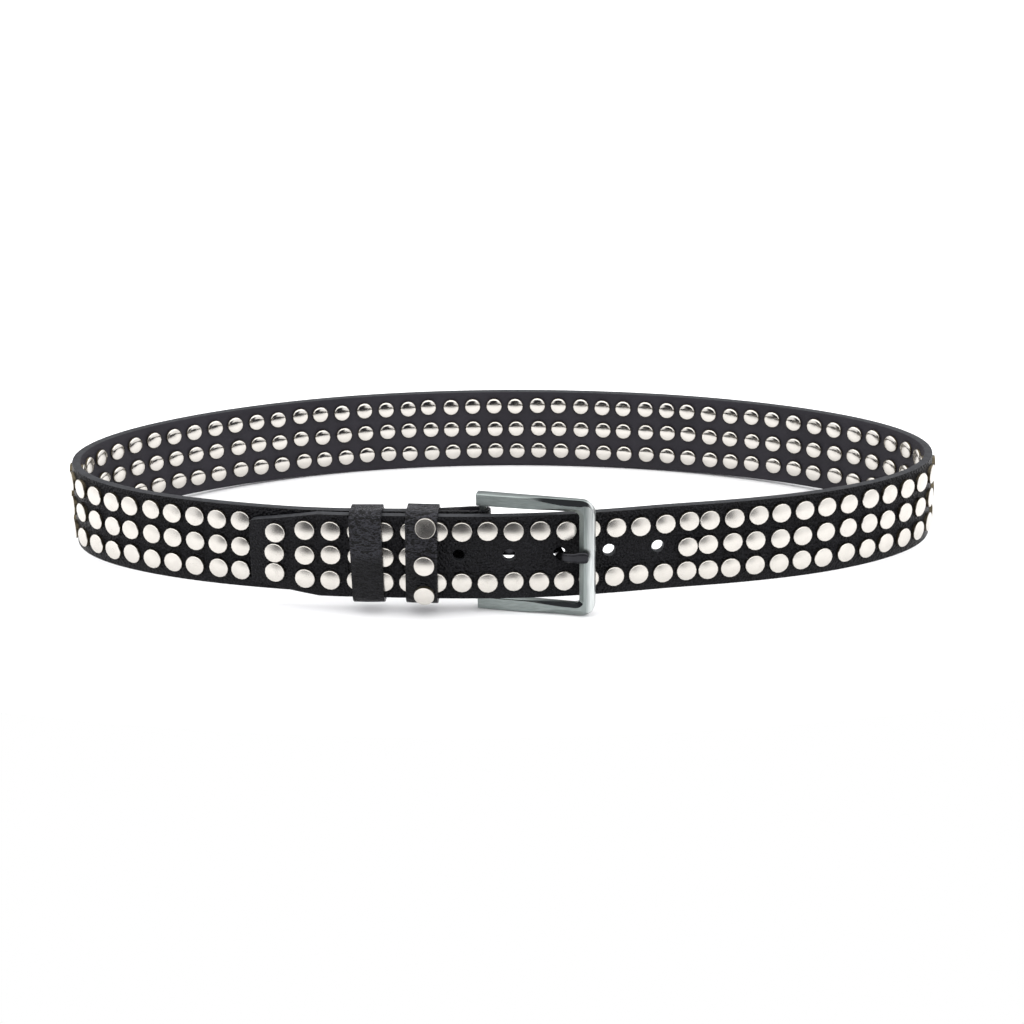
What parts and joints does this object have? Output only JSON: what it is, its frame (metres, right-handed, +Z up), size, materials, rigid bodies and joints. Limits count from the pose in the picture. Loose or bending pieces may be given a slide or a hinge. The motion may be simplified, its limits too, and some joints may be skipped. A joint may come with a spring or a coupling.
{
  "type": "studded belt",
  "caption": "Black leather belt covered in flat nickel rivets, buckled into an oval loop with prong buckle, keepers and a clipped tip, standing on its edge.",
  "frame": {"origin": "on the surface that the belt stands on, under the middle of its box", "axes": "+X along the loop's long side, with the buckle's free end bar towards +X; +Y from the buckle to the back; +Z up"},
  "size_m": [0.4216, 0.1876, 0.0576],
  "materials": {
    "strap_leather": "fine pebble grain, satin, black",
    "keeper_leather": "smooth glossy black with fine creases",
    "buckle_metal": "brushed gunmetal",
    "prong_metal": "polished black nickel",
    "stud_nickel": "satin polished nickel"
  },
  "bodies": {
    "root": {"strap": "strap_leather", "buckle_frame": "buckle_metal", "prong": "prong_metal", "keeper_plain": "keeper_leather", "keeper_studded": "keeper_leather", "keeper_rivet_top": "stud_nickel", "keeper_rivet_middle": "stud_nickel", "keeper_rivet_bottom": "stud_nickel"}
  },
  "joints": []
}
